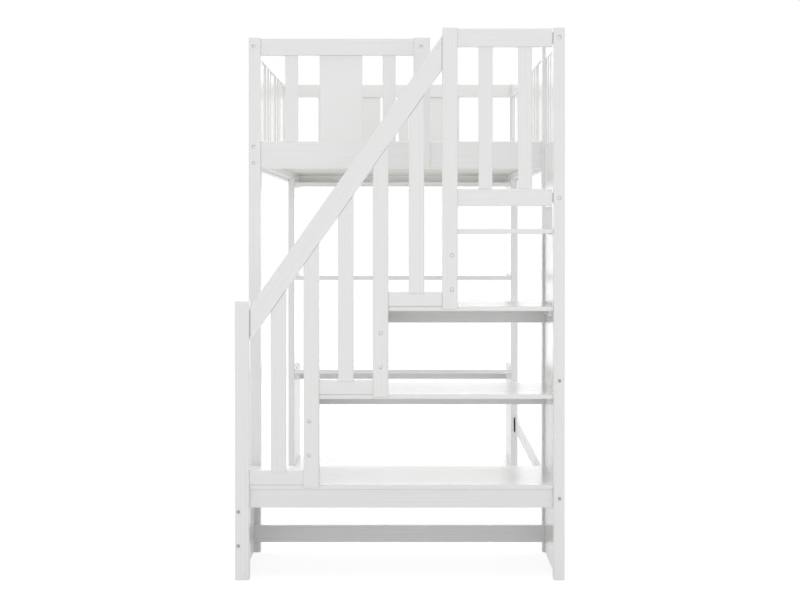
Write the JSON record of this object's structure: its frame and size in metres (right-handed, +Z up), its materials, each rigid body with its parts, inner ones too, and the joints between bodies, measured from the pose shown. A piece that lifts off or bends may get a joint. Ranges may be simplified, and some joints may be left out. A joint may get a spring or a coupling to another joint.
{
  "type": "loft bed",
  "caption": "White wooden loft bed with slatted guards, an open storage staircase across one end and a bookcase under the other end.",
  "frame": {"origin": "on the floor under the middle of the bed's bounding box", "axes": "+Z up, +Y from the staircase end to the bookcase end, +X towards the side that stands against a wall"},
  "size_m": [1.066, 2.505, 1.8065],
  "materials": {
    "white_lacquer": "satin white lacquer over solid pine and board",
    "slat_wood": "white primed softwood slats on cotton webbing"
  },
  "bodies": {
    "root": {"baluster_1": "white_lacquer", "baluster_2": "white_lacquer", "baluster_3": "white_lacquer", "bed_post_far_left": "white_lacquer", "bed_post_far_right": "white_lacquer", "bed_post_near_left": "white_lacquer", "bed_post_near_right": "white_lacquer", "bookcase_side_left": "white_lacquer", "bookcase_side_right": "white_lacquer", "far_bed_rail": "white_lacquer", "far_panel_1": "white_lacquer", "far_panel_2": "white_lacquer", "far_slat_1": "white_lacquer", "far_slat_2": "white_lacquer", "far_slat_3": "white_lacquer", "far_top_rail": "white_lacquer", "gate_post": "white_lacquer", "handrail": "white_lacquer", "landing_bottom_rail": "white_lacquer", "landing_slat_1": "white_lacquer", "landing_slat_2": "white_lacquer", "landing_top_rail": "white_lacquer", "landing_tread": "white_lacquer", "landing_wall_guard": "white_lacquer", "near_bed_rail": "white_lacquer", "near_panel_1": "white_lacquer", "near_slat_1": "white_lacquer", "near_slat_2": "white_lacquer", "near_top_rail": "white_lacquer", "newel_post": "white_lacquer", "riser_board_1": "white_lacquer", "riser_board_2": "white_lacquer", "riser_board_3": "white_lacquer", "shelf_low": "white_lacquer", "shelf_middle": "white_lacquer", "shelf_top": "white_lacquer", "shelf_upper": "white_lacquer", "side_guard_left": "white_lacquer", "side_guard_right": "white_lacquer", "side_rail_left": "white_lacquer", "side_rail_right": "white_lacquer", "slat_base": "slat_wood", "stair_base_stretcher": "white_lacquer", "stair_post_high": "white_lacquer", "stair_post_low": "white_lacquer", "stair_post_mid": "white_lacquer", "stair_side_board": "white_lacquer", "stair_wall_panel": "white_lacquer", "stair_wall_post": "white_lacquer", "toe_rail_1": "white_lacquer", "toe_rail_2": "white_lacquer", "toe_rail_3": "white_lacquer", "tread_1": "white_lacquer", "tread_2": "white_lacquer", "tread_3": "white_lacquer", "tread_apron": "white_lacquer", "tread_rear_rail_1": "white_lacquer", "tread_rear_rail_2": "white_lacquer", "tread_rear_rail_3": "white_lacquer", "wall_side_stretcher": "white_lacquer"}
  },
  "joints": []
}
